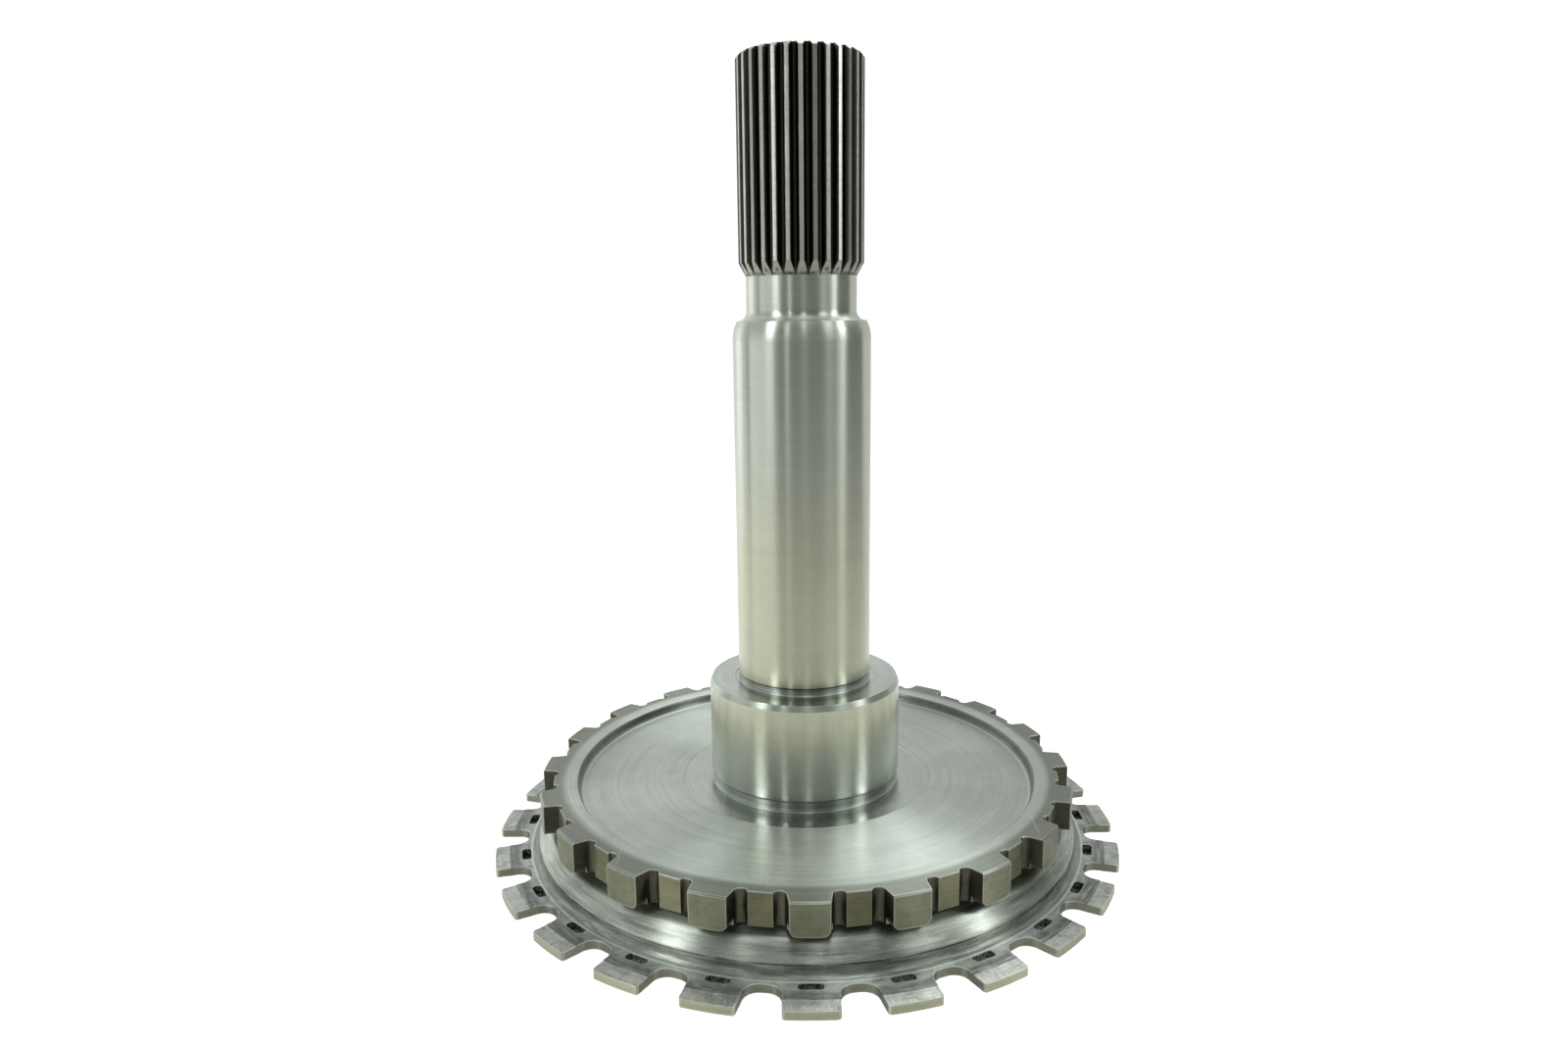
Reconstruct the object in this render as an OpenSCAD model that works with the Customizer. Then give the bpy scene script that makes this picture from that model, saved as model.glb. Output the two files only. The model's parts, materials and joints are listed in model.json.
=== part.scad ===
// Transmission output shaft: a splined shaft with a bearing journal and a hub,
// turned in one piece with a toothed disc and, below it, a thin slotted flange.
// Millimetres. The axis is Z, the underside of the flange is Z = 0, and one tooth
// of the spline, one of the disc and one of the flange point to -Y.

/* [Shaft] */
// height of the whole part, from the underside to the splined end
total_h = 256.4; // [248:0.2:300]
// diameter of the long bearing journal
journal_d = 45; // [44.4:0.1:48]
// height at which the journal reaches its full diameter, above its lead-in
journal_top_z = 170.3; // [120:0.1:171]
// axial length of the rounded lead-in at the top of the journal
journal_lead_h = 5.8; // [3:0.1:6.5]
// radial depth of that lead-in
journal_lead_r = 1.4; // [0.5:0.1:1.5]
// height of the neck between the shoulder and the lower ends of the spline teeth
neck_h = 13.9; // [8:0.1:16]
// radial step from the bottom of the spline grooves down to the neck
neck_step = 0.45; // [0.2:0.05:0.8]
// radius in the corner between the neck and the shoulder
neck_fillet = 3.1; // [1:0.1:3.2]

/* [Spline] */
// number of spline teeth
spline_teeth = 30; // [28:1:31]
// module of the spline: pitch diameter divided by the number of teeth
spline_module = 1.3; // [1.2:0.01:1.3]
// pressure angle of the involute flanks
spline_angle = 30; // [25:0.5:32]
// axial length of the tapered lower ends of the teeth
spline_runout_h = 4.2; // [2:0.1:5]
// chamfer at the free end of the spline
spline_chamfer = 1.1; // [0.5:0.1:1.5]

/* [Hub] */
// diameter of the hub
hub_d = 65; // [62:0.1:68]
// height of the hub face above the underside
hub_top_z = 56.4; // [45:0.1:70]
// axial length of the tapered lead-in of the hub
hub_lead_h = 1.8; // [1:0.1:3]
// radial depth of that lead-in
hub_lead_r = 0.8; // [0.4:0.1:1.2]

/* [Undercuts] */
// radial depth of the undercut at the foot of the journal
journal_cut_r = 0.4; // [0.2:0.05:0.6]
// axial width of that undercut
journal_cut_w = 2.4; // [1.5:0.1:3]
// depth of the ring sunk into the hub face beside the journal
face_cut_t = 0.35; // [0.2:0.05:0.5]
// width of that ring beyond the journal
face_cut_w = 1.4; // [1:0.1:2]
// radial depth of the undercut at the foot of the hub
hub_cut_r = 0.8; // [0.4:0.05:1]
// axial width of that undercut
hub_cut_w = 4; // [2:0.1:5]

/* [Toothed disc] */
// number of teeth on the disc
disc_teeth = 20; // [16:1:20]
// diameter over the tooth tips
disc_tip_d = 182; // [181:0.1:184]
// diameter of the flat floor between two teeth
disc_floor_d = 172.8; // [172:0.1:174]
// height of the upper face of the disc above the underside
disc_top_z = 23.9; // [22:0.1:26]
// thickness of the toothed rim
disc_h = 10.4; // [9:0.1:10.4]
// width of a tooth across its tip
tooth_tip_w = 11.3; // [9:0.1:11.5]
// slope of a tooth flank against the middle line of the tooth space
flank_angle = 17; // [14:0.5:18]
// radius of the relief grooves in the corners of a tooth space
relief_r = 1.95; // [1.5:0.05:2]
// depth of a relief groove below the floor
relief_depth = 1.45; // [0.8:0.05:1.6]
// rounding of the lower corners of each tooth
tooth_round = 2.2; // [1:0.1:2.5]
// chamfer around the upper edge of the tooth tips
tip_chamfer = 0.45; // [0.2:0.05:0.8]

/* [Web] */
// diameter of the sunk web, measured at its outer wall
web_d = 156.4; // [150:0.1:158]
// depth of the web below the upper face of the disc
web_depth = 3.6; // [2:0.1:4]
// radius in the corner at the foot of that wall
web_fillet = 1.8; // [0.5:0.1:1.9]
// rounding of the upper edge of that wall
web_edge = 0.9; // [0.3:0.1:1]
// width of the slightly tapered band between that edge and the flat rim
rim_taper_w = 4; // [2:0.1:4.5]
// fall of that band towards the web
rim_taper_t = 0.25; // [0.1:0.05:0.4]
// diameter of the ground land around the hub
land_d = 84.4; // [76:0.1:90]
// depth of that land below the rest of the web
land_t = 0.1; // [0.05:0.05:0.3]

/* [Shoulder ring] */
// diameter of the upright wall under the toothed disc
ring_d = 184.6; // [184:0.1:185]
// radius in the corner between that wall and the flange
ring_fillet = 1.9; // [1:0.1:2]
// slope of the cone above the wall, against the horizontal
ring_slope = 48; // [44:1:50]
// slope of the top of the ring, against the horizontal
ring_top_slope = 9; // [6:1:12]
// rounding between the wall and the cone
ring_low_round = 2.6; // [2:0.1:3]
// rounding between the cone and the top
ring_high_round = 3; // [2:0.1:3.5]
// height of the middle of the lower rounding above the underside
ring_round_z = 5.4; // [5.2:0.1:6.2]
// axial length of the cone
ring_cone_h = 3.2; // [2.8:0.1:3.3]
// diameter at the bottom of the groove between the ring and the disc
groove_d = 161; // [160.5:0.1:166]

/* [Slotted flange] */
// outer diameter of the flange
flange_d = 213; // [210:0.1:216]
// thickness of the flange
flange_t = 2.8; // [2.6:0.1:3]
// number of slots, and of teeth between them
slots = 24; // [20:1:24]
// diameter of the circle that touches the bottoms of the slots
slot_floor_d = 191.8; // [191:0.1:194]
// width of a slot where its rounded bottom ends
slot_w = 10.7; // [9:0.1:10.8]
// radius of the rounded bottom corners of a slot
slot_corner_r = 4.4; // [3:0.1:4.4]
// slope of a slot flank, so that the slot opens outwards
slot_flare = 8; // [4:0.5:9]
// chamfer of the outer corners of the flange teeth
slot_tip_chamfer = 0.8; // [0.3:0.1:1]
// diameter at which the lower outer part of the flange teeth begins
tooth_band_d = 203.6; // [202:0.1:206]
// fall of that outer part below the rest of the flange
tooth_band_t = 0.15; // [0.05:0.05:0.3]
// length of the oblong pocket at the root of each flange tooth
pocket_l = 7.2; // [5:0.1:8]
// width of the pocket
pocket_w = 3; // [2:0.1:3]
// depth of the pocket
pocket_t = 1.7; // [1:0.1:2]
// radius of the upright corners of the pocket
pocket_round = 1.1; // [0.5:0.1:1.3]
// diameter of the circle through the middles of the pockets
pocket_circle_d = 192.7; // [192.4:0.1:193.5]

/* [Underside] */
// diameter of the middle boss that the part stands on
boss_d = 60; // [50:0.5:70]
// outer diameter of the turned recess around the boss
back_d = 164; // [140:0.5:166]
// depth of that recess
back_t = 7; // [2:0.1:7]
// radius in the upper corners of the recess
back_fillet = 2.5; // [1:0.1:3]

/* [Centre holes] */
// diameter of the drilled centre in each end
centre_d = 5; // [3:0.1:6]
// depth of the drilled centre, from the end face
centre_h = 13; // [10:0.5:16]
// diameter of the 60 degree countersink at the end face
centre_mouth_d = 10.6; // [8:0.1:12]

/* [Hidden] */
$fn = 96;

// overlap that keeps cuts clear of the faces they pass through
cut = 1;
// overlap of solids that are joined
joint = 0.5;
// narrowest flat left between a fillet and the edge of its wall
flat_left = 0.1;
// how far the spline flanks run past the tip circle before they are turned back
flank_over = 0.25;
// how far the cutter of a tooth corner runs past the flank and the underside
corner_over = 1;
// flat steps along one involute flank, one rounding of the profile,
// one relief groove of a tooth space, one lower corner of a tooth,
// one bottom corner of a slot and one corner of a pocket
flank_steps = 3;
arc_steps = 6;
groove_steps = 9;
corner_steps = 5;
slot_steps = 8;
pocket_steps = 3;
// colour of the steel
steel = "#8f978f";

journal_r = journal_d / 2;
hub_r = hub_d / 2;
spline_pitch_r = spline_teeth * spline_module / 2;
spline_tip_r = (spline_teeth + 1) * spline_module / 2;
spline_root_r = (spline_teeth - 1.8) * spline_module / 2;
spline_base_r = spline_pitch_r * cos(spline_angle);
neck_r = spline_root_r - neck_step;
shoulder_z = journal_top_z + journal_lead_h;
neck_top_z = shoulder_z + neck_h;
// radius of the lead-in arc, which is tangent to the journal, and the angle that it covers
lead_arc_r = (pow(journal_lead_h, 2) + pow(journal_lead_r, 2)) / (2 * journal_lead_r);
lead_arc_a = asin(journal_lead_h / lead_arc_r);
neck_fillet_r = min(neck_fillet, journal_r - journal_lead_r - neck_r - flat_left);
spline_full_z = neck_top_z + spline_runout_h;

web_z = disc_top_z - web_depth;
web_r = web_d / 2;
land_r = land_d / 2;
disc_tip_r = disc_tip_d / 2;
disc_floor_r = disc_floor_d / 2;
disc_low_z = disc_top_z - disc_h;
groove_r = groove_d / 2;
ring_r = ring_d / 2;
flange_r = flange_d / 2;
band_r = tooth_band_d / 2;
boss_r = boss_d / 2;
back_r = back_d / 2;

// middle of the lower rounding, then of the upper one, of the shoulder ring
low_c = [ring_r - ring_low_round, ring_round_z];
low_end = low_c + ring_low_round * [sin(ring_slope), cos(ring_slope)];
cone_end = low_end + [-ring_cone_h / tan(ring_slope), ring_cone_h];
high_c = cone_end - ring_high_round * [sin(ring_slope), cos(ring_slope)];
high_end = high_c + ring_high_round * [sin(ring_top_slope), cos(ring_top_slope)];
ring_inner_z = high_end[1] + (high_end[0] - groove_r) * tan(ring_top_slope);
tooth_space_low_z = (disc_low_z + ring_inner_z) / 2;

// points of an arc about c, from angle a to angle b
function arc(c, r, a, b, steps = arc_steps) =
    [for (i = [0 : steps]) let (t = a + (b - a) * i / steps) c + r * [cos(t), sin(t)]];

// the same outline mirrored about the Y axis, with its points in the same turning sense
function mirrored(pts) = [for (i = [len(pts) - 1 : -1 : 0]) [-pts[i][0], pts[i][1]]];

// involute function, in degrees
function inv(a) = tan(a) * 180 / PI - a;

// half the angle that a spline tooth covers at radius r
function spline_half(r) =
    90 / spline_teeth + inv(spline_angle) - inv(acos(spline_base_r / r));

// one point of a spline flank, side = -1 or 1; tooth 0 points to -Y
function spline_point(i, r, side) =
    let (a = i * 360 / spline_teeth + side * spline_half(r) - 90) r * [cos(a), sin(a)];

// flank radii, taken past the tip circle, which the turned outline then cuts back
function spline_flank_r(k) =
    spline_root_r + (spline_tip_r + flank_over - spline_root_r) * k / flank_steps;

// half section of everything that is turned, up to the spline
module turned_outline() {
    polygon(concat(
        [[0, 0], [boss_r, 0], [boss_r, back_t - back_fillet]],
        arc([boss_r + back_fillet, back_t - back_fillet], back_fillet, 180, 90),
        arc([back_r - back_fillet, back_t - back_fillet], back_fillet, 90, 0),
        [[back_r, 0], [flange_r, 0], [flange_r, flange_t - tooth_band_t],
         [band_r, flange_t - tooth_band_t], [band_r, flange_t]],
        arc([ring_r + ring_fillet, flange_t + ring_fillet], ring_fillet, 270, 180),
        arc(low_c, ring_low_round, 0, 90 - ring_slope),
        arc(high_c, ring_high_round, 90 - ring_slope, 90 - ring_top_slope),
        [[groove_r, ring_inner_z], [groove_r, disc_low_z], [disc_tip_r, disc_low_z],
         [disc_tip_r, disc_top_z - tip_chamfer], [disc_tip_r - tip_chamfer, disc_top_z],
         [web_r + rim_taper_w, disc_top_z]],
        arc([web_r + web_edge, disc_top_z - rim_taper_t - web_edge], web_edge, 90, 180),
        arc([web_r - web_fillet, web_z + web_fillet], web_fillet, 360, 270),
        [[land_r, web_z], [land_r, web_z - land_t],
         [hub_r - hub_cut_r / 2, web_z - land_t],
         [hub_r - hub_cut_r, web_z - land_t + hub_cut_r / 2],
         [hub_r - hub_cut_r, web_z + hub_cut_w - hub_cut_r], [hub_r, web_z + hub_cut_w],
         [hub_r, hub_top_z - hub_lead_h], [hub_r - hub_lead_r, hub_top_z],
         [journal_r + face_cut_w, hub_top_z],
         [journal_r + face_cut_w - face_cut_t, hub_top_z - face_cut_t],
         [journal_r, hub_top_z - face_cut_t],
         [journal_r - journal_cut_r, hub_top_z + journal_cut_r - face_cut_t],
         [journal_r - journal_cut_r, hub_top_z + journal_cut_w - journal_cut_r],
         [journal_r, hub_top_z + journal_cut_w]],
        arc([journal_r - lead_arc_r, journal_top_z], lead_arc_r, 0, lead_arc_a),
        arc([neck_r + neck_fillet_r, shoulder_z + neck_fillet_r], neck_fillet_r, 270, 180),
        [[neck_r, neck_top_z + joint], [0, neck_top_z + joint]]
    ));
}

// half section that the spline is cut to: tapered lower ends and chamfered free end
module spline_envelope() {
    taper = (spline_tip_r - neck_r) / spline_runout_h;
    polygon([
        [0, neck_top_z - joint], [neck_r - joint * taper, neck_top_z - joint],
        [spline_tip_r, spline_full_z], [spline_tip_r, total_h - spline_chamfer],
        [spline_tip_r - spline_chamfer, total_h], [0, total_h]
    ]);
}

// cross section of the spline
module spline_section() {
    polygon([for (i = [0 : spline_teeth - 1]) each concat(
        [for (k = [0 : flank_steps]) spline_point(i, spline_flank_r(k), -1)],
        [for (k = [flank_steps : -1 : 0]) spline_point(i, spline_flank_r(k), 1)]
    )]);
}

module splined_end() {
    intersection() {
        translate([0, 0, neck_top_z - cut])
            linear_extrude(total_h - neck_top_z + 2 * cut)
                spline_section();
        rotate_extrude()
            spline_envelope();
    }
}

// values of one tooth space of the disc: half width at the tip circle,
// middle of the relief groove and half width of the space beside that middle
space_half_w = disc_tip_r * sin(180 / disc_teeth - asin(tooth_tip_w / disc_tip_d));
space_tip_y = sqrt(pow(disc_tip_r, 2) - pow(space_half_w, 2));
relief_y = disc_floor_r - relief_depth + relief_r;
flank_at_relief = space_half_w - (space_tip_y - relief_y) * tan(flank_angle);
relief_x = flank_at_relief - relief_r / cos(flank_angle);
relief_start = asin((relief_y - disc_floor_r) / relief_r);

// plan of one tooth space, open towards -Y
module tooth_space() {
    out_y = disc_tip_r + 2 * cut;
    out_x = space_half_w + (out_y - space_tip_y) * tan(flank_angle);
    half = concat(
        arc([relief_x, relief_y], relief_r, 180 + relief_start, 360 - flank_angle, groove_steps),
        [[out_x, out_y]]
    );
    rotate(180)
        polygon(concat(half, mirrored(half)));
}

// cross section of the cutter of a lower tooth corner, with the edge of the tooth at the
// origin; its first and last facets run on, so that they cross the faces at an angle
function corner_outline() =
    let (facets = arc([tooth_round, -tooth_round], tooth_round, 180, 90, corner_steps),
         half_step = 45 / corner_steps,
         low = facets[0] - corner_over * [sin(half_step), cos(half_step)],
         high = facets[corner_steps] + corner_over * [cos(half_step), sin(half_step)])
    concat([low], [for (i = [1 : corner_steps - 1]) facets[i]],
           [high, [high[0], cut], [-cut, cut], [-cut, low[1]]]);

// cutter that rounds the lower corner of a tooth beside the space on side s
module tooth_corner_cutter(s) {
    corner_l = disc_tip_r - relief_y + 2 * cut;
    outline = corner_outline();
    rotate(180)
        translate([s * flank_at_relief, relief_y, disc_low_z])
            rotate([0, 0, -s * flank_angle])
                rotate([-90, 0, 0])
                    linear_extrude(corner_l)
                        polygon(s > 0 ? outline : mirrored(outline));
}

module tooth_spaces() {
    translate([0, 0, tooth_space_low_z])
        linear_extrude(disc_top_z - tooth_space_low_z + cut)
            for (i = [0 : disc_teeth - 1])
                rotate((i + 0.5) * 360 / disc_teeth)
                    tooth_space();
}

module tooth_corner_cutters() {
    for (i = [0 : disc_teeth - 1], s = [-1, 1])
        rotate((i + 0.5) * 360 / disc_teeth)
            tooth_corner_cutter(s);
}

// plan of one slot of the flange, open towards -Y
module slot() {
    corner = [slot_w / 2 - slot_corner_r, slot_floor_d / 2 + slot_corner_r];
    chamfer_y = flange_r - slot_tip_chamfer;
    chamfer_x = slot_w / 2 + (chamfer_y - corner[1]) * tan(slot_flare);
    out_x = chamfer_x + slot_tip_chamfer + cut;
    half = concat(
        arc(corner, slot_corner_r, 270, 360 - slot_flare, slot_steps),
        [[chamfer_x, chamfer_y], [out_x, flange_r + cut]]
    );
    rotate(180)
        polygon(concat(half, mirrored(half)));
}

module flange_slots() {
    translate([0, 0, -cut])
        linear_extrude(flange_t + 2 * cut)
            for (i = [0 : slots - 1])
                rotate((i + 0.5) * 360 / slots)
                    slot();
}

// plan of one pocket, an oblong with rounded corners about the origin
module pocket() {
    corner = [pocket_l / 2 - pocket_round, pocket_w / 2 - pocket_round];
    polygon([for (q = [[1, 1, 0], [-1, 1, 90], [-1, -1, 180], [1, -1, 270]])
        each arc([q[0] * corner[0], q[1] * corner[1]], pocket_round, q[2], q[2] + 90, pocket_steps)]);
}

// oblong pockets in the upper face, one at the root of each flange tooth
module flange_pockets() {
    translate([0, 0, flange_t - pocket_t])
        linear_extrude(pocket_t + cut)
            for (i = [0 : slots - 1])
                rotate(i * 360 / slots)
                    translate([0, -pocket_circle_d / 2])
                        pocket();
}

// half section of a centre hole, mouth at Z = 0, drilled upwards
module centre_outline() {
    cone_h = (centre_mouth_d - centre_d) / 2 / tan(30);
    polygon([
        [0, -cut], [centre_mouth_d / 2, -cut], [centre_mouth_d / 2, 0], [centre_d / 2, cone_h],
        [centre_d / 2, centre_h], [0, centre_h + centre_d / 2 * tan(30)]
    ]);
}

module centre_holes() {
    rotate_extrude()
        centre_outline();
    translate([0, 0, total_h])
        mirror([0, 0, 1])
            rotate_extrude()
                centre_outline();
}

// everything turned, with the spline on its end
module turned_blank() {
    rotate_extrude()
        turned_outline();
    splined_end();
}

// the blank with its disc toothed, then with the lower corners of the teeth rounded
module toothed_blank() {
    difference() {
        turned_blank();
        tooth_spaces();
    }
}

module rounded_blank() {
    difference() {
        toothed_blank();
        tooth_corner_cutters();
    }
}

module output_shaft() {
    color(steel)
        difference() {
            rounded_blank();
            flange_slots();
            flange_pockets();
            centre_holes();
        }
}

output_shaft();
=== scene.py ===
# Looks of the transmission output shaft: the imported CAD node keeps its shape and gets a
# procedural steel, and stands on a pale sweep under soft studio light.
# Blender 4.5. Everything is in metres, except the sizes below and the nodes of the steel,
# which are in millimetres.
import json
import math
from types import SimpleNamespace

import bpy
from mathutils import Matrix, Vector


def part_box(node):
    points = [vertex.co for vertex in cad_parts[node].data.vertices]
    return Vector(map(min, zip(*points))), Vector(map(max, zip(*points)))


NODE = "output_shaft"
MM = 0.001

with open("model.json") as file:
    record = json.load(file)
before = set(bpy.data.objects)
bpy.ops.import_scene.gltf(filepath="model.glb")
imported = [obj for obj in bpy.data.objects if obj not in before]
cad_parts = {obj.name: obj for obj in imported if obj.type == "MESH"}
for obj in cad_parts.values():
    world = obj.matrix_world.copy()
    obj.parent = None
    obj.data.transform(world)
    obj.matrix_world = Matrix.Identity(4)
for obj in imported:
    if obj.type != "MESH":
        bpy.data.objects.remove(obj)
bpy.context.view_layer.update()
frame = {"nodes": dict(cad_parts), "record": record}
shaft = frame["nodes"][NODE]
record = frame["record"]
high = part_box(NODE)[1]

# Sizes, in millimetres. The seats come from the record, and the rest repeats part.scad
# or marks off a surface in it.
LEAD_H = 5.8
NECK_H = 13.9
NECK_R = 17.88
NECK_FILLET_R = 21.3
SPLINE_TEETH = 30
SPLINE_TIP_R = 20.15
SPLINE_CHAMFER = 1.1
RUNOUT_H = 4.2
HUB_LEAD_H = 1.8
HUB_LEAD_W = 3
WEB_Z = 20.3
LAND_R = 42.2
WEB_R = 78.2
DISC_TOP_Z = 23.9
DISC_LOW_Z = 13.5
DISC_FLOOR_R = 86.4
TOOTH_IN_R = 84.5
TOOTH_LOW_Z = 13.3
RING_IN_R = 80
RING_FOOT_R = 94.2
RING_LINE_Z = 5.9
FLANGE_T = 2.8
FLANGE_TEETH = 24
FLANGE_IN_R = 94.5
BAND_R = 101.8
POCKET_IN_R = 94.8
POCKET_OUT_R = 97.95
POCKET_FLOOR_Z = 1.1

mounts = {mount["name"]: mount for mount in record["mounts"]}


def seat(name):
    """Radius, lowest and highest point of a cylindrical seat in the record."""
    mount = mounts[name]
    half = mount["dims"]["length_mm"] / 2
    middle_z = mount["pos_m"][2] / MM
    return mount["dims"]["r_mm"], middle_z - half, middle_z + half


total_h = high.z / MM
flange_r = high.x / MM
journal_r, journal_low_z, journal_top_z = seat("journal")
hub_r, hub_low_z, hub_lead_z = seat("hub_seat")
shoulder_z = journal_top_z + LEAD_H
neck_top_z = shoulder_z + NECK_H
hub_top_z = hub_lead_z + HUB_LEAD_H

# Colours, linear
GROUND = (0.605, 0.655, 0.57)
HUB = (0.61, 0.635, 0.575)
TURNED = (0.585, 0.65, 0.59)
TURNED_DULL = (0.54, 0.60, 0.545)
WARM = (0.61, 0.625, 0.465)
RIM = (0.275, 0.305, 0.255)
TOOTH = (0.31, 0.32, 0.225)
TOOTH_FLOOR = (0.295, 0.295, 0.185)
# Painted shade on the sides of the disc teeth that face round the axis
TOOTH_SIDE_SHADE = (0.12, 0.12, 0.085)
# Painted shade in the relief groove under the disc teeth
RELIEF_SHADE = (0.18, 0.18, 0.12)
RING = (0.50, 0.56, 0.49)
# Painted shade on the ring's steep foot
RING_FOOT_SHADE = (0.36, 0.40, 0.35)
FLANGE_DARK = (0.21, 0.23, 0.21)
FLANGE_BAND = (0.60, 0.64, 0.585)
FLANGE_EDGE = (0.54, 0.555, 0.405)
# Painted shade on the flange's slot walls, which face round the axis between its teeth
SLOT_WALL_SHADE = (0.31, 0.32, 0.25)
POCKET = (0.10, 0.105, 0.09)
POCKET_PALE = (0.34, 0.36, 0.33)
# Painted shade: deep in the spline's grooves and at the tips of its notches, lighter on the flanks
SPLINE_GROOVE_SHADE = (0.048, 0.05, 0.04)
FLANK_SHADE = (0.12, 0.12, 0.10)
RUNOUT = (0.45, 0.455, 0.37)
BRIGHT = (0.80, 0.83, 0.77)
BLACK = (0.0, 0.0, 0.0)
WHITE = (1.0, 1.0, 1.0)

# Heights, in millimetres, below and above which the ground seats turn warm, and how softly
JOURNAL_WARM_Z, JOURNAL_WARM_SOFT = 118, 50
HUB_WARM_Z, HUB_WARM_SOFT = 40, 16

# Strength of each tint, 0 to 1, and the share of the edge wear and its painted highlight that the floors
# of the spaces lose
WARMTH = 0.85
DARK_RING_TINT = 0.85
# Painted shade at the tips of the spline's notches
NOTCH_SHADE = 0.9
SCRATCH_TINT = 0.2
# Painted highlights: a glint at the foot of each undercut, and a line on the fillet at the ring's foot
FOOT_GLINT_TINT = 0.5
FOOT_HIGHLIGHT_TINT = 0.6
BRUSHED_TINT = 0.5
SMUDGE_TINT = 0.40
EDGE_TINT = 0.7
FLOOR_EDGE_LOSS = 0.6

# Strength of each kind of dirt and painted shade, 0 to 1, and the share of the first two on the ground
# seats
MARK_SHADE = 0.20
STAIN_SHADE = 0.12
GROUND_SHARE = 0.45
SMEAR_SHADE = 0.36
FLANGE_BLOTCH_SHADE = 0.38
TOOTH_BLOTCH_SHADE = 0.16
SPLINE_FOOT_SHADE = 0.55
# Painted shade: the ring's thin dark line, the undercuts, the lines under the seats and the recess wall
RING_LINE_SHADE = 0.45
UNDERCUT_SHADE = 0.20
UNDERCUT_LINE_SHADE = 0.5
RECESS_SHADE = 0.5

# Roughness of each surface. Where two overlap, the later one holds.
PLAIN_ROUGHNESS = 0.37
ROUGHNESS = {
    "journal": 0.30,
    "hub": 0.22,
    "hub_face": 0.18,
    "land": 0.20,
    "transitions": 0.36,
    "neck": 0.32,
    "tooth": 0.46,
    "tooth_floor": 0.52,
    "ring": 0.36,
    "flange_top": 0.38,
    "flange_wall": 0.45,
    "groove": 0.48,
    "pocket": 0.6,
}

# How far stains and fine marks change the roughness, and the share of that on polished surfaces
STAIN_ROUGHNESS = 0.12
FINE_ROUGHNESS = 0.10
POLISHED_UNEVENNESS = 0.25

# Depth of the marks, in millimetres, and what share of it some surfaces have
FINE_DEPTH = 0.008
MARK_DEPTH = 0.020
GRIT_DEPTH = 0.015
POCKET_GRIT_DEPTH = 0.12
SCRATCH_DEPTH = 0.006
POLISHED_SHARE = 0.06
WEB_SHARE = 0.6
CUT_SHARE = 0.15

# Rounding of the edges, in metres: what the shading shows, and where wear and its painted highlight are
# looked for
EDGE_ROUNDING = 0.25 * MM
WEAR_AND_HIGHLIGHT_ROUNDING = 0.6 * MM
BEVEL_SAMPLES = 4

# Sets of scratches: direction in degrees, scale of the noise, and the level above which it shows
SCRATCH_SETS = ((25, 900, 0.775), (-50, 800, 0.78), (80, 1000, 0.78))
SCRATCH_STRETCH = 0.03

# Brush marks across the flange teeth, how often around the axis and along the radius
BRUSH_PER_RADIAN = 150.0
BRUSH_PER_MM = 0.25

# Painted shade at the tips of the spline's notches: height in millimetres, level at the neck, and how
# they widen
NOTCH_TIP_H = 1.3
NOTCH_EDGE = 0.99
NOTCH_WIDENING = 0.22

# Softness of the border between two surfaces, in millimetres
SOFT = 0.12


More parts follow.
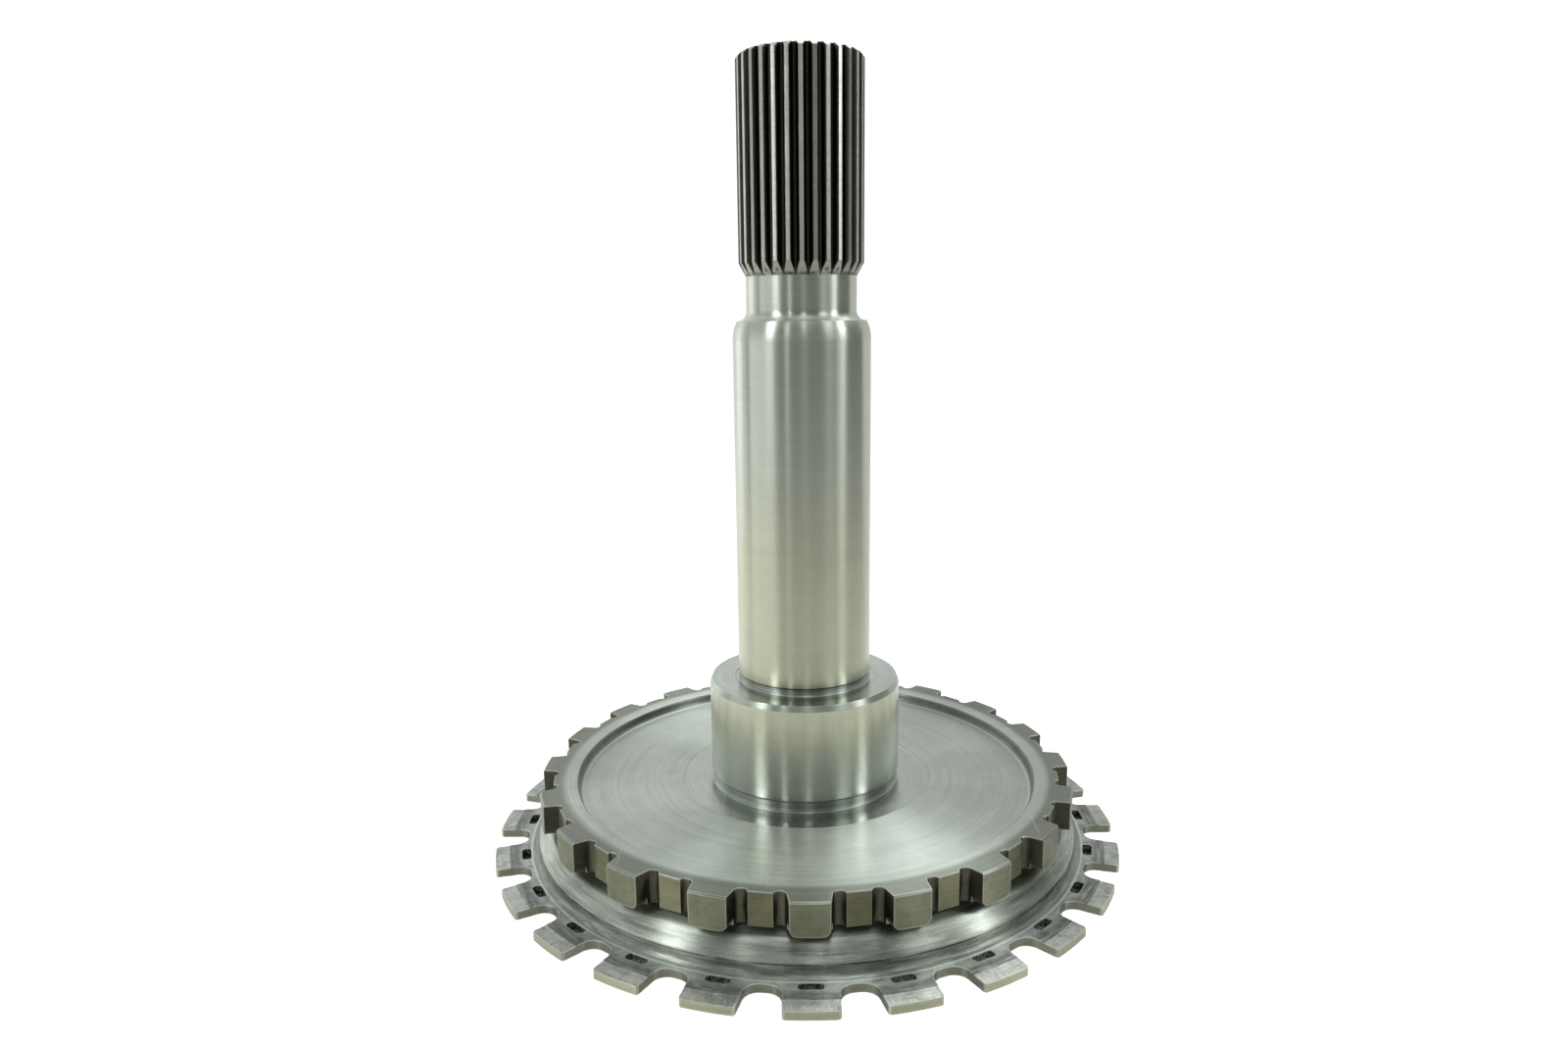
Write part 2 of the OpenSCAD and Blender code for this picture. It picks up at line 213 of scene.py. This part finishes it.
class Graph:
    """Adds nodes to one tree. An input is a socket, a number or a colour."""

    def __init__(self, tree):
        self.tree = tree
        self.tree.nodes.clear()

    def feed(self, socket, value):
        if isinstance(value, bpy.types.NodeSocket):
            self.tree.links.new(value, socket)
        elif isinstance(value, tuple) and len(value) == 3 and socket.type == "RGBA":
            socket.default_value = (*value, 1.0)
        else:
            socket.default_value = value

    def add(self, kind, inputs=(), **props):
        node = self.tree.nodes.new(kind)
        for name, value in props.items():
            setattr(node, name, value)
        for name, value in dict(inputs).items():
            self.feed(node.inputs[name], value)
        return node

    def math(self, operation, a, b=0.0, clamp=False):
        node = self.add("ShaderNodeMath", {0: a, 1: b}, operation=operation, use_clamp=clamp)
        return node.outputs[0]

    def times(self, a, b):
        return self.math("MULTIPLY", a, b)

    def minus(self, a, b):
        return self.math("SUBTRACT", a, b)

    def plus(self, first, *others):
        for other in others:
            first = self.math("ADD", first, other)
        return first

    def both(self, first, *masks):
        for mask in masks:
            first = self.times(first, mask)
        return first

    def either(self, first, *masks):
        for mask in masks:
            first = self.math("MAXIMUM", first, mask)
        return first

    def off(self, mask):
        """1 where the mask is 0."""
        return self.minus(1.0, mask)

    def above(self, value, edge, soft):
        """0 below edge, 1 above it, over a width of soft."""
        node = self.add("ShaderNodeMapRange",
                        {"Value": value, "From Min": edge - soft / 2, "From Max": edge + soft / 2},
                        interpolation_type="SMOOTHSTEP")
        return node.outputs["Result"]

    def below(self, value, edge, soft):
        return self.off(self.above(value, edge, soft))

    def within(self, value, a, b, soft):
        return self.both(self.above(value, a, soft), self.below(value, b, soft))

    def blend(self, factor, a, b):
        """Number a where factor is 0, b where it is 1."""
        node = self.add("ShaderNodeMix", {0: factor, 2: a, 3: b}, data_type="FLOAT")
        return node.outputs[0]

    def tint(self, factor, a, b):
        """Colour a where factor is 0, b where it is 1."""
        node = self.add("ShaderNodeMix", {0: factor, 6: a, 7: b}, data_type="RGBA")
        return node.outputs[2]

    def vector(self, x, y, z):
        return self.add("ShaderNodeCombineXYZ", {0: x, 1: y, 2: z}).outputs[0]

    def dot(self, a, b):
        return self.add("ShaderNodeVectorMath", {0: a, 1: b}, operation="DOT_PRODUCT").outputs["Value"]

    def turned_noise(self, at, scale, wander, detail, roughness):
        """Noise along a turned profile, scale per millimetre, nearly constant around the axis."""
        spot = self.vector(self.times(at.cos_a, wander), self.times(at.sin_a, wander),
                           self.times(at.r, scale))
        node = self.add("ShaderNodeTexNoise",
                        {"Vector": spot, "W": self.times(at.z, scale), "Scale": 1.0,
                         "Detail": detail, "Roughness": roughness}, noise_dimensions="4D")
        return node.outputs["Fac"]

    def noise(self, vector, scale, detail, roughness, distortion=0.0):
        node = self.add("ShaderNodeTexNoise", {"Vector": vector, "Scale": scale, "Detail": detail,
                                               "Roughness": roughness, "Distortion": distortion})
        return node.outputs["Fac"]

    def spread(self, value, a, b):
        """Stretches the middle of a noise so that a becomes 0 and b becomes 1."""
        node = self.add("ShaderNodeMapRange", {"Value": value, "From Min": a, "From Max": b})
        return node.outputs["Result"]


def locate(g):
    """Where a point of the object is: metres as a vector, and millimetres round the axis."""
    place = g.add("ShaderNodeTexCoord").outputs["Object"]
    parts = g.add("ShaderNodeSeparateXYZ", {0: place}).outputs
    x, y, z = (g.times(parts[i], 1 / MM) for i in range(3))
    r = g.math("SQRT", g.plus(g.times(x, x), g.times(y, y)))
    safe_r = g.math("MAXIMUM", r, 0.01)
    return SimpleNamespace(place=place, z=z, r=r,
                           cos_a=g.math("DIVIDE", x, safe_r), sin_a=g.math("DIVIDE", y, safe_r),
                           angle=g.math("ARCTAN2", x, g.times(y, -1.0)))


def spline_masks(g, at):
    """The spline's grooves, its lands, the run-out and the painted shade at the tips of its notches,
    and how far a point is sunk under the outline of the teeth."""
    splined = g.above(at.z, neck_top_z - 0.05, SOFT)
    slope = (SPLINE_TIP_R - NECK_R) / RUNOUT_H
    cone_r = g.plus(NECK_R, g.times(g.minus(at.z, neck_top_z), slope))
    end_r = g.minus(SPLINE_TIP_R + total_h - SPLINE_CHAMFER, at.z)
    envelope = g.math("MINIMUM", g.math("MINIMUM", cone_r, end_r), SPLINE_TIP_R)
    sunk = g.minus(envelope, at.r)
    groove = g.both(splined, g.above(sunk, 0.03, 0.05), g.below(at.z, total_h - 0.02, 0.02))
    land_top = g.both(splined, g.off(groove))
    runout = g.both(land_top, g.below(at.z, neck_top_z + RUNOUT_H, 0.3))
    # Painted shade at the tips of the notches, where the grooves run out
    groove_wave = g.times(g.math("COSINE", g.times(at.angle, float(SPLINE_TEETH))), -1.0)
    tip_rise = g.times(g.minus(at.z, neck_top_z), NOTCH_WIDENING)
    notch_tip = g.both(runout, g.above(g.plus(groove_wave, tip_rise), NOTCH_EDGE, 0.06),
                       g.below(at.z, neck_top_z + NOTCH_TIP_H, 0.3))
    return dict(splined=splined, sunk=sunk, groove=groove, land_top=land_top, runout=runout,
                notch_tip=notch_tip)


def surface_masks(g, at):
    """A mask for each kind of surface: 1 on it, 0 elsewhere."""

    def zone(z=(None, None), r=(None, None), z_soft=SOFT, r_soft=SOFT):
        """Between two heights and two radii, where None leaves a side open."""
        masks = []
        for value, (start, end), soft in ((at.z, z, z_soft), (at.r, r, r_soft)):
            if start is not None:
                masks.append(g.above(value, start, soft))
            if end is not None:
                masks.append(g.below(value, end, soft))
        return g.both(*masks)

    on = SimpleNamespace(**spline_masks(g, at))
    slim = (None, journal_r + 0.5)
    web_level = (WEB_Z - 1, WEB_Z + 1)

    on.neck = zone((shoulder_z, neck_top_z), (None, NECK_FILLET_R))
    on.journal = zone((journal_low_z, journal_top_z), slim)
    on.lead = zone((journal_top_z, shoulder_z + 0.1), slim)
    on.hub = zone((hub_low_z, hub_lead_z), (None, hub_r + 0.5))
    on.hub_lead = zone((hub_lead_z, hub_top_z - 0.1), (hub_r - HUB_LEAD_W, None))
    on.hub_face = zone((hub_top_z - 0.5, hub_top_z + 0.5), (journal_r + 0.2, hub_r + 0.5))
    on.undercut = g.either(zone((hub_top_z - 0.2, journal_low_z), slim),
                           zone((WEB_Z, hub_low_z), (None, hub_r + 0.1)))
    on.land = zone(web_level, (hub_r, LAND_R))
    on.web = zone(web_level, (LAND_R, WEB_R - 2), r_soft=2)
    on.recess = zone((WEB_Z + 0.3, DISC_TOP_Z - 0.15), (WEB_R - 3, WEB_R + 0.5), z_soft=0.4)
    on.rim = zone((DISC_TOP_Z - 0.36, None), (WEB_R - 0.5, None))

    on.tooth = zone((TOOTH_LOW_Z, DISC_TOP_Z - 0.4), (TOOTH_IN_R, None))
    on.tooth_floor = g.both(on.tooth, g.below(at.r, DISC_FLOOR_R + 0.4, 0.5))
    on.relief = g.both(on.tooth, g.below(at.r, DISC_FLOOR_R - 0.12, 0.2))
    face_normal = g.add("ShaderNodeNewGeometry").outputs["Normal"]
    round_axis = g.vector(g.times(at.sin_a, -1.0), at.cos_a, 0.0)
    sideways = g.math("ABSOLUTE", g.dot(face_normal, round_axis))
    # Painted shade: the sides of the teeth that face round the axis
    on.tooth_side = g.both(on.tooth, g.above(sideways, 0.75, 0.2))

    on.ring = zone((FLANGE_T + 0.02, DISC_LOW_Z - 0.1), (RING_IN_R, RING_FOOT_R))
    on.flange_top = zone((FLANGE_T - 0.3, FLANGE_T + 0.2), (RING_FOOT_R - 0.2, None), z_soft=0.04)
    on.flange_dark = g.both(on.flange_top, g.above(at.r, POCKET_OUT_R + 0.25, 2.5),
                            g.below(at.r, BAND_R, 0.1))
    on.band = g.both(on.flange_top, g.above(at.r, BAND_R, 0.1))
    on.flange_wall = zone((None, FLANGE_T - 0.3), (FLANGE_IN_R, None))
    # Painted shade on the slot walls
    on.slot_wall = g.both(on.flange_wall, g.below(at.r, flange_r - 0.7, 0.4))
    tooth_wave = g.math("COSINE", g.times(at.angle, float(FLANGE_TEETH)))
    on.pocket = g.both(zone((POCKET_FLOOR_Z - 0.2, FLANGE_T - 0.12), (POCKET_IN_R, POCKET_OUT_R),
                            z_soft=0.06),
                       g.above(tooth_wave, 0.55, 0.05))
    on.transitions = g.either(on.lead, on.hub_lead, on.undercut)
    return on


def scratch_mask(g, at, on):
    """Thin stretched noise in a few slanted directions, off the cut teeth."""
    sets = []
    for degrees, scale, edge in SCRATCH_SETS:
        tilt = math.radians(degrees)
        turned_place = g.add("ShaderNodeMapping",
                             {"Vector": at.place, "Rotation": (tilt * 0.7, tilt * 0.4, tilt),
                              "Scale": (1.0, SCRATCH_STRETCH, 1.0)}).outputs[0]
        sets.append(g.above(g.noise(turned_place, scale, 1.0, 0.4), edge, 0.02))
    return g.both(g.either(*sets), g.off(g.either(on.tooth, on.splined)))


def mark_noises(g, at):
    """Marks of the tool, rings around the axis, and what handling left."""
    return SimpleNamespace(
        fine=g.turned_noise(at, scale=5.0, wander=1.0, detail=3.0, roughness=0.6),
        medium=g.turned_noise(at, scale=1.2, wander=1.2, detail=3.0, roughness=0.55),
        broad=g.turned_noise(at, scale=0.25, wander=1.6, detail=2.0, roughness=0.5),
        smeared=g.turned_noise(at, scale=0.5, wander=3.0, detail=4.0, roughness=0.6),
        smudge=g.turned_noise(at, scale=1.1, wander=11.0, detail=4.0, roughness=0.65),
        cloud=g.noise(at.place, 22.0, 4.0, 0.6),
        grit=g.noise(at.place, 1500.0, 2.0, 0.5),
        mottle=g.noise(at.place, 900.0, 3.0, 0.6),
        stain=g.noise(at.place, 75.0, 5.0, 0.65, 0.6),
        blotch=g.noise(at.place, 240.0, 5.0, 0.7, 0.8))


def dirt_and_shade(g, at, on, marks):
    """How far the colour goes to black: dirt and tool marks, and painted shade."""
    shade = g.plus(g.times(g.spread(marks.medium, 0.25, 0.75), MARK_SHADE),
                   g.times(g.spread(marks.stain, 0.3, 0.7), STAIN_SHADE))
    ground = g.either(on.journal, on.hub, on.neck, on.lead)
    shade = g.times(shade, g.blend(ground, 1.0, GROUND_SHARE))
    spline_foot = g.both(on.splined, g.below(at.z, neck_top_z + 0.9, 0.8))
    # Painted shade: a thin dark line round the ring where its cone meets the wall
    ring_line = g.both(on.ring, g.within(at.z, RING_LINE_Z, RING_LINE_Z + 0.45, 0.15))
    # Painted shade: thin dark lines just under the hub and journal seats
    under_seats = g.either(g.within(at.z, hub_low_z - 0.6, hub_low_z - 0.05, 0.15),
                           g.within(at.z, journal_low_z - 0.6, journal_low_z - 0.05, 0.15))
    return g.plus(
        shade,
        g.both(on.ring, g.times(g.spread(marks.smeared, 0.4, 0.65), SMEAR_SHADE)),
        g.both(on.flange_top, g.times(g.spread(marks.blotch, 0.42, 0.68), FLANGE_BLOTCH_SHADE)),
        g.both(on.tooth, g.times(g.spread(marks.blotch, 0.45, 0.7), TOOTH_BLOTCH_SHADE)),
        g.both(spline_foot, g.times(g.spread(marks.blotch, 0.40, 0.55), SPLINE_FOOT_SHADE)),
        g.times(ring_line, RING_LINE_SHADE),
        # Painted shade in the undercuts and along the lines under the seats
        g.times(on.undercut, UNDERCUT_SHADE),
        g.both(on.undercut, g.times(under_seats, UNDERCUT_LINE_SHADE)),
        # Painted shade on the wall of the recess round the web
        g.times(on.recess, RECESS_SHADE))


def worn_and_highlit_edges(g, at, on):
    """Wear and a painted highlight where a rounded normal leaves the flat one, on the disc's rim, teeth
    and flange.
    """
    flat = g.add("ShaderNodeNewGeometry").outputs["Normal"]
    rounded = g.add("ShaderNodeBevel", {"Radius": WEAR_AND_HIGHLIGHT_ROUNDING}, samples=BEVEL_SAMPLES).outputs[0]
    off_step = g.off(g.within(at.r, BAND_R - 0.8, BAND_R + 0.8, 0.1))
    spared = g.either(on.relief, on.pocket, g.times(on.tooth_floor, FLOOR_EDGE_LOSS))
    return g.both(g.below(g.dot(rounded, flat), 0.93, 0.08), off_step,
                  g.either(on.tooth, on.rim, on.flange_top, on.flange_wall), g.off(spared))


def steel_colour(g, at, on, marks, scratch):
    """Colours laid one over the other: surfaces and painted shade, dirt, then what is bright, with
    painted highlights.
    """
    warm = g.either(g.both(on.journal, g.below(at.z, JOURNAL_WARM_Z, JOURNAL_WARM_SOFT)),
                    g.both(on.hub, g.above(at.z, HUB_WARM_Z, HUB_WARM_SOFT)))
    # The ring's steep foot gets painted shade
    ring_tone_with_foot_shade = g.tint(g.below(at.z, RING_LINE_Z + 0.3, 0.8), RING, RING_FOOT_SHADE)
    # Painted shade in the spline's grooves, darkest where they are deepest
    groove_shade = g.tint(g.below(on.sunk, 0.55, 0.7), SPLINE_GROOVE_SHADE, FLANK_SHADE)
    pocket_tone = g.tint(g.spread(marks.mottle, 0.42, 0.62), POCKET, POCKET_PALE)
    foot_glint = g.both(on.undercut, g.either(g.within(at.z, WEB_Z + 0.5, WEB_Z + 0.9, 0.2),
                                              g.within(at.z, hub_top_z + 0.4, hub_top_z + 0.8, 0.2)))
    # Painted highlight: a thin bright line on the fillet at the foot of the ring
    foot_highlight = g.both(on.flange_top, g.within(at.r, RING_FOOT_R + 0.1, RING_FOOT_R + 0.8, 0.3))
    across_teeth = g.vector(g.times(at.angle, BRUSH_PER_RADIAN), g.times(at.r, BRUSH_PER_MM), 0.0)
    brushed = g.both(on.band, g.spread(g.noise(across_teeth, 1.0, 3.0, 0.6), 0.5, 0.7))
    smudge = g.both(g.spread(marks.smudge, 0.5, 0.68), g.either(on.flange_dark, on.ring))
    layers = (
        (g.either(on.journal, on.lead, on.neck), GROUND),
        (on.hub, HUB),
        (on.land, TURNED_DULL),
        (g.times(warm, WARMTH), WARM),
        (on.ring, ring_tone_with_foot_shade),
        (on.tooth, TOOTH),
        (on.tooth_floor, TOOTH_FLOOR),
        (on.tooth_side, TOOTH_SIDE_SHADE),
        (on.relief, RELIEF_SHADE),
        (g.times(on.flange_dark, DARK_RING_TINT), FLANGE_DARK),
        (on.band, FLANGE_BAND),
        (on.flange_wall, FLANGE_EDGE),
        (on.slot_wall, SLOT_WALL_SHADE),
        (g.both(on.rim, g.above(at.r, DISC_FLOOR_R - 3.5, 3)), RIM),
        (on.groove, groove_shade),
        (on.land_top, GROUND),
        (on.runout, RUNOUT),
        (g.times(on.notch_tip, NOTCH_SHADE), SPLINE_GROOVE_SHADE),
        (on.pocket, pocket_tone),
        (dirt_and_shade(g, at, on, marks), BLACK),
        (g.times(scratch, SCRATCH_TINT), BRIGHT),
        (g.times(foot_glint, FOOT_GLINT_TINT), BRIGHT),
        (g.times(foot_highlight, FOOT_HIGHLIGHT_TINT), BRIGHT),
        (g.times(brushed, BRUSHED_TINT), BRIGHT),
        (g.times(smudge, SMUDGE_TINT), BRIGHT),
        (g.times(worn_and_highlit_edges(g, at, on), EDGE_TINT), BRIGHT),
    )
    colour = g.tint(g.spread(marks.cloud, 0.3, 0.7), TURNED, TURNED_DULL)
    for mask, tone in layers:
        colour = g.tint(mask, colour, tone)
    return colour


def steel_roughness(g, on, marks):
    rough = PLAIN_ROUGHNESS
    for name, value in ROUGHNESS.items():
        rough = g.blend(getattr(on, name), rough, value)
    uneven = g.plus(g.times(g.minus(g.plus(marks.stain, marks.broad), 1.0), STAIN_ROUGHNESS),
                    g.times(g.minus(marks.fine, 0.5), FINE_ROUGHNESS))
    polished = g.either(on.journal, on.hub, on.hub_face, on.land, on.neck)
    uneven = g.times(uneven, g.blend(polished, 1.0, POLISHED_UNEVENNESS))
    return g.math("ADD", rough, uneven, clamp=True)


def steel_normal(g, on, marks, scratch):
    """Tool marks, grit and scratches, on a normal that rounds the edges."""
    polished = g.either(on.journal, on.hub, on.hub_face, on.hub_lead, on.lead, on.land)
    cut = g.either(on.tooth, on.flange_wall, on.splined)
    depth = g.plus(g.times(g.minus(marks.fine, 0.5), FINE_DEPTH),
                   g.times(g.minus(marks.medium, 0.5), MARK_DEPTH))
    for mask, share in ((polished, POLISHED_SHARE), (on.web, WEB_SHARE), (cut, CUT_SHARE)):
        depth = g.times(depth, g.blend(mask, 1.0, share))
    depth = g.plus(depth, g.both(g.either(on.tooth, on.flange_wall), g.times(marks.grit, GRIT_DEPTH)),
                   g.both(on.pocket, g.times(marks.grit, POCKET_GRIT_DEPTH)))
    depth = g.minus(depth, g.times(scratch, SCRATCH_DEPTH))
    rounded = g.add("ShaderNodeBevel", {"Radius": EDGE_ROUNDING}, samples=BEVEL_SAMPLES).outputs[0]
    bump = g.add("ShaderNodeBump", {"Strength": 1.0, "Distance": MM, "Height": depth, "Normal": rounded})
    return bump.outputs[0]


def steel_material():
    """Turned steel, whose gloss is stretched by the marks around the axis."""
    material = bpy.data.materials.new("turned_steel")
    material.use_nodes = True
    g = Graph(material.node_tree)
    at = locate(g)
    on = surface_masks(g, at)
    marks = mark_noises(g, at)
    scratch = scratch_mask(g, at, on)
    tangent = g.add("ShaderNodeTangent", direction_type="RADIAL", axis="Z").outputs[0]
    shader = g.add("ShaderNodeBsdfPrincipled",
                   {"Base Color": steel_colour(g, at, on, marks, scratch), "Metallic": 1.0,
                    "Roughness": steel_roughness(g, on, marks),
                    "Anisotropic": 0.95, "Anisotropic Rotation": 0.25, "Tangent": tangent,
                    "Normal": steel_normal(g, on, marks, scratch)})
    g.add("ShaderNodeOutputMaterial", {"Surface": shader.outputs[0]})
    return material


shaft.data.materials.clear()
shaft.data.materials.append(steel_material())

# Stage: a half-round floor and wall around a point on the floor behind the object, at SWEEP_Y,
# and a flat floor in front of them
SWEEP_Y = 0.45
PALE_R = 0.62
PALE_FADE = 0.30
FLOOR_STEPS = (0.0, 0.3, 0.6)
WALL_R = 0.95
WALL_H = 0.8
COVE_R = 0.25
COVE_STEP = 9
SEGMENTS = 96
FRONT_REACH = 3.0
RIGHT_X, RIGHT_FADE = 0.22, 0.30

# Its paper, far out, on the right and on the left
PAPER_FAR = (0.22, 0.225, 0.215)
PAPER_RIGHT = (0.55, 0.55, 0.55)
PAPER_LEFT = (0.80, 0.80, 0.80)

# Its glow to the camera, which brings the lit paper to white, and its glow in the metal
CAMERA_GLOW_FAR = 1.0
CAMERA_GLOW_RIGHT = 0.95
CAMERA_GLOW_LEFT = 0.70
FLOOR_GLOW_RIGHT = 0.07
FLOOR_GLOW_LEFT = 0.28
WALL_GLOW_RIGHT = 0.32
WALL_GLOW_LEFT = 0.45


def stage_material():
    """Pale paper. It is white to the camera, and bright in reflections around the object,
    less so on the right and further out."""
    material = bpy.data.materials.new("sweep_paper")
    material.use_nodes = True
    g = Graph(material.node_tree)
    place = g.add("ShaderNodeNewGeometry").outputs["Position"]
    x, y, _ = g.add("ShaderNodeSeparateXYZ", {0: place}).outputs
    ground_place = g.vector(x, y, 0.0)
    gap = g.add("ShaderNodeVectorMath", {0: ground_place, 1: (0.0, SWEEP_Y, 0.0)}, operation="DISTANCE")
    near = g.below(gap.outputs["Value"], PALE_R + PALE_FADE / 2, PALE_FADE)
    behind = g.above(y, SWEEP_Y, 0.3)
    pale = g.either(near, behind)
    left = g.below(x, RIGHT_X, RIGHT_FADE)
    paper = g.add("ShaderNodeBsdfDiffuse",
                  {"Color": g.tint(pale, PAPER_FAR, g.tint(left, PAPER_RIGHT, PAPER_LEFT))})

    paths = g.add("ShaderNodeLightPath").outputs
    to_camera = g.blend(pale, CAMERA_GLOW_FAR, g.blend(left, CAMERA_GLOW_RIGHT, CAMERA_GLOW_LEFT))
    floor_glow = g.blend(left, FLOOR_GLOW_RIGHT, FLOOR_GLOW_LEFT)
    wall_glow = g.blend(left, WALL_GLOW_RIGHT, WALL_GLOW_LEFT)
    to_metal = g.both(pale, g.blend(behind, floor_glow, wall_glow))
    strength = g.either(g.both(paths["Is Camera Ray"], to_camera),
                        g.both(paths["Is Glossy Ray"], to_metal))
    glow = g.add("ShaderNodeEmission", {"Color": WHITE, "Strength": strength})
    lit_paper = g.add("ShaderNodeAddShader", {0: paper.outputs[0], 1: glow.outputs[0]})
    g.add("ShaderNodeOutputMaterial", {"Surface": lit_paper.outputs[0]})
    return material


def stage_mesh():
    """The half-round floor that rises in a cove to the wall, and the flat floor in front."""
    profile = [(radius, 0.0) for radius in FLOOR_STEPS]
    for degrees in range(0, 91, COVE_STEP):
        a = math.radians(degrees)
        profile.append((WALL_R - COVE_R + COVE_R * math.sin(a), COVE_R * (1 - math.cos(a))))
    profile.append((WALL_R, WALL_H))
    verts, faces = [], []
    turns = [math.pi * i / SEGMENTS for i in range(SEGMENTS + 1)]
    for radius, height in profile:
        for a in turns:
            verts.append((radius * math.cos(a), SWEEP_Y + radius * math.sin(a), height))
    row = SEGMENTS + 1
    for j in range(len(profile) - 1):
        for i in range(SEGMENTS):
            corner = j * row + i
            faces.append((corner, corner + 1, corner + row + 1, corner + row))
    first = len(verts)
    verts += [(-FRONT_REACH, SWEEP_Y, 0), (FRONT_REACH, SWEEP_Y, 0),
              (FRONT_REACH, -FRONT_REACH, 0), (-FRONT_REACH, -FRONT_REACH, 0)]
    faces.append((first, first + 3, first + 2, first + 1))
    mesh = bpy.data.meshes.new("sweep")
    mesh.from_pydata(verts, [], faces)
    for polygon in mesh.polygons:
        polygon.use_smooth = True
    mesh.update()
    return mesh


sweep = bpy.data.objects.new("sweep", stage_mesh())
bpy.context.scene.collection.objects.link(sweep)
sweep.data.materials.append(stage_material())

# Lamps
LAMP_GAP = 0.9

# Upright softboxes round the axis: name, azimuth in degrees from the camera side towards +X,
# width, bottom, top, radiance, and the share of the half width over which it fades out
STANDING_BOXES = (
    ("left_box", -78, 0.80, 0.0, 0.34, 1.08, 0.4),
    ("left_back_box", -122, 0.70, 0.0, 0.40, 0.55, 0.35),
    ("left_strip", -58, 0.26, 0.52, 1.02, 11.0, 0.6),
    ("front_left_strip", -26, 0.045, 0.42, 0.95, 10.0, 0.6),
    ("front_strip", 4, 0.16, 0.76, 1.25, 5.0, 0.8),
    ("front_right_box", 50, 0.34, 0.55, 1.20, 2.8, 0.5),
    ("right_box", 63, 0.32, 0.0, 0.25, 0.60, 0.8),
    ("right_strip", 75, 0.22, 0.46, 0.95, 11.0, 0.8),
)
TOP_BOX_PLACE = (0.20, 0.28, 1.0)
TOP_BOX_TARGET = (0.05, 0.0, 0.05)
TOP_BOX_SIZE = (0.58, 1.1)
TOP_BOX_RADIANCE = 2.9
TOP_BOX_FADE = 0.8


def softbox(name, place, target, size, radiance, fade):
    """A rectangular lamp at place that faces target. It dims towards its two upright edges,
    over the share fade of its half width."""
    width, height = size
    data = bpy.data.lights.new(name, "AREA")
    data.shape = "RECTANGLE"
    data.size = width
    data.size_y = height
    data.energy = radiance * math.pi * width * height
    lamp = bpy.data.objects.new(name, data)
    lamp.location = place
    turn = (Vector(target) - Vector(place)).to_track_quat("-Z", "Y")
    lamp.rotation_euler = turn.to_euler()
    bpy.context.scene.collection.objects.link(lamp)

    data.use_nodes = True
    g = Graph(data.node_tree)
    across = turn @ Vector((1.0, 0.0, 0.0))
    spot = g.add("ShaderNodeNewGeometry").outputs["Position"]
    off_middle = g.math("ABSOLUTE", g.minus(g.dot(spot, tuple(across)), across.dot(Vector(place))))
    half = width / 2
    lit = g.below(off_middle, half * (1 - fade / 2), half * fade)
    glow = g.add("ShaderNodeEmission", {"Strength": lit})
    g.add("ShaderNodeOutputLight", {"Surface": glow.outputs[0]})


for box_name, azimuth, box_width, bottom, top, box_radiance, box_fade in STANDING_BOXES:
    box_turn = math.radians(azimuth)
    middle = (bottom + top) / 2
    softbox(box_name, (LAMP_GAP * math.sin(box_turn), -LAMP_GAP * math.cos(box_turn), middle),
            (0.0, 0.0, middle), (box_width, top - bottom), box_radiance, box_fade)
softbox("top_box", TOP_BOX_PLACE, TOP_BOX_TARGET, TOP_BOX_SIZE, TOP_BOX_RADIANCE, TOP_BOX_FADE)

# World: the direction of its pale part, where that begins, and the two colours
PALE_WAY = (-0.12, 0.53, 0.84)
PALE_EDGE, PALE_SOFT = 0.55, 0.6
ROOM_DIM = (0.125, 0.122, 0.115)
ROOM_PALE = (0.86, 0.87, 0.86)


def studio_world():
    """A room that is dim on the camera's side and pale above and behind the object.
    The camera itself sees it white."""
    world = bpy.data.worlds.new("studio")
    world.use_nodes = True
    g = Graph(world.node_tree)
    direction = g.add("ShaderNodeTexCoord").outputs["Generated"]
    pale = g.above(g.dot(direction, PALE_WAY), PALE_EDGE, PALE_SOFT)
    to_camera = g.add("ShaderNodeLightPath").outputs["Is Camera Ray"]
    room = g.tint(to_camera, g.tint(pale, ROOM_DIM, ROOM_PALE), WHITE)
    background = g.add("ShaderNodeBackground", {"Color": room, "Strength": 1.0})
    g.add("ShaderNodeOutputWorld", {"Surface": background.outputs[0]})
    return world


bpy.context.scene.world = studio_world()

# Camera
CAMERA_GAP = 0.34605          # from the axis, horizontally
CAMERA_H = 0.1771             # above the underside
CAMERA_TURN = math.radians(-0.7)   # around the axis, towards -X
PITCH, YAW, ROLL = (math.radians(a) for a in (11.05, -1.065, -0.630))
PHOTO_W = 1600
FOCAL_PX = 1069.9
SENSOR_W = 36.0
CLIP_START = 0.01

ahead = Vector((math.sin(YAW), math.cos(YAW), 0.0))
side = Vector((math.cos(YAW), -math.sin(YAW), 0.0))
upright = Vector((0.0, 0.0, 1.0))
forward = ahead * math.cos(PITCH) - upright * math.sin(PITCH)
tilted_up = upright * math.cos(PITCH) + ahead * math.sin(PITCH)
cam_x = side * math.cos(ROLL) + tilted_up * math.sin(ROLL)
cam_y = tilted_up * math.cos(ROLL) - side * math.sin(ROLL)
basis = Matrix((cam_x, cam_y, -forward)).transposed().to_4x4()

lens = bpy.data.cameras.new("camera")
lens.sensor_fit = "HORIZONTAL"
lens.sensor_width = SENSOR_W
lens.lens = FOCAL_PX / PHOTO_W * SENSOR_W
lens.clip_start = CLIP_START
camera = bpy.data.objects.new("camera", lens)
camera.matrix_world = (Matrix.Rotation(CAMERA_TURN, 4, "Z")
                       @ Matrix.Translation((0.0, -CAMERA_GAP, CAMERA_H)) @ basis)
bpy.context.scene.collection.objects.link(camera)
bpy.context.scene.camera = camera
bpy.context.scene.view_settings.view_transform = "Standard"
